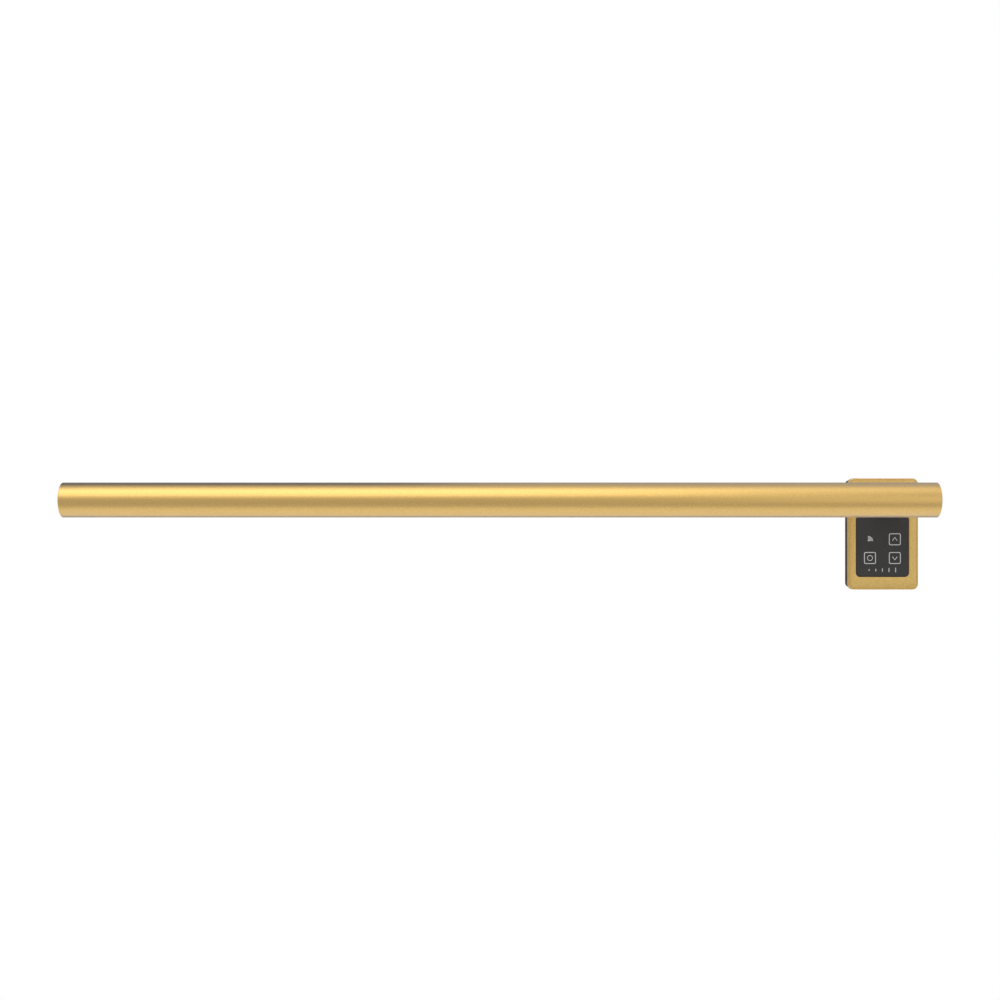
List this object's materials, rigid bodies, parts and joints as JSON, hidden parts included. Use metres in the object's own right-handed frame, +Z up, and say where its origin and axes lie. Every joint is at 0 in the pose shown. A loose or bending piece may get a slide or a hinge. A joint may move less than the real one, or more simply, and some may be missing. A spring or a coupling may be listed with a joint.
{
  "type": "towel warmer rack",
  "caption": "Wall-mounted heated towel bar: a straight gold tube on two short posts, with a slim box and touch panel behind its right end.",
  "frame": {"origin": "on the wall plane, midway between the two main wall screws, at the height of the bar's axis", "axes": "+X to the right along the bar, +Y into the wall, +Z up"},
  "size_m": [0.8, 0.091, 0.1065],
  "materials": {
    "brushed_gold_steel": "brushed stainless steel with a gold vapour-deposited coat",
    "satin_gold_cover": "satin die-cast aluminium with the same gold coat",
    "black_housing": "moulded black ABS, fine grain",
    "touch_panel_black": "matte black hard-coated acrylic",
    "print_grey": "light grey screen print",
    "black_rubber": "moulded black EPDM and silicone rubber",
    "stainless_steel": "plain stainless steel",
    "zinc_plated_steel": "bright zinc-plated steel",
    "plain_aluminium": "plain extruded and cast aluminium",
    "brass_parts": "turned brass",
    "magnesia": "compacted magnesia powder",
    "silicone_white": "white silicone rubber",
    "board_green": "glass-fibre circuit board with green solder mask",
    "black_chip": "moulded black epoxy",
    "terminal_grey": "moulded grey polyamide",
    "white_plastic": "moulded white polycarbonate",
    "foam_grey": "conducting foam",
    "lead_insulation": "red-brown silicone insulation"
  },
  "bodies": {
    "root": {"bar_tube": "brushed_gold_steel", "left_end_cap": "brushed_gold_steel", "right_end_cap": "brushed_gold_steel", "end_cap_rings": "black_rubber", "element_sheath": "stainless_steel", "element_core": "magnesia", "element_bush": "silicone_white", "element_pins": "stainless_steel", "element_spacers": "plain_aluminium", "lead_crimps": "brass_parts", "temperature_sensor": "black_chip", "sensor_pad": "silicone_white", "thermal_fuse": "white_plastic", "left_saddle_nut": "zinc_plated_steel", "right_saddle_nut": "zinc_plated_steel", "left_bar_bolt": "zinc_plated_steel", "hollow_bar_bolt": "brass_parts", "left_post": "brushed_gold_steel", "right_post": "brushed_gold_steel", "left_wall_boss": "brass_parts", "left_grub_screw": "stainless_steel", "post_flange": "zinc_plated_steel", "flange_screws": "zinc_plated_steel", "nut_plate": "zinc_plated_steel", "wall_plate": "zinc_plated_steel", "lock_screws": "stainless_steel", "rear_housing": "black_housing", "cover_gasket": "black_rubber", "inlet_grommet": "black_rubber", "front_cover": "satin_gold_cover", "post_seal": "black_rubber", "cover_screws": "zinc_plated_steel", "touch_panel": "touch_panel_black", "panel_tape": "foam_grey", "panel_print": "print_grey", "control_board": "board_green", "board_screws": "zinc_plated_steel", "touch_pads": "foam_grey", "indicator_lights": "white_plastic", "light_guide": "white_plastic", "radio_board": "board_green", "radio_shield": "stainless_steel", "logic_chip": "black_chip", "heater_terminal": "terminal_grey", "supply_terminal": "terminal_grey", "sensor_socket": "terminal_grey", "power_transistors": "black_chip", "choke": "black_chip", "capacitors": "black_chip", "board_fuse": "white_plastic", "heater_lead_fused": "lead_insulation", "heater_lead_return": "lead_insulation", "sensor_lead": "lead_insulation", "lead_sleeve": "silicone_white"}
  },
  "joints": []
}
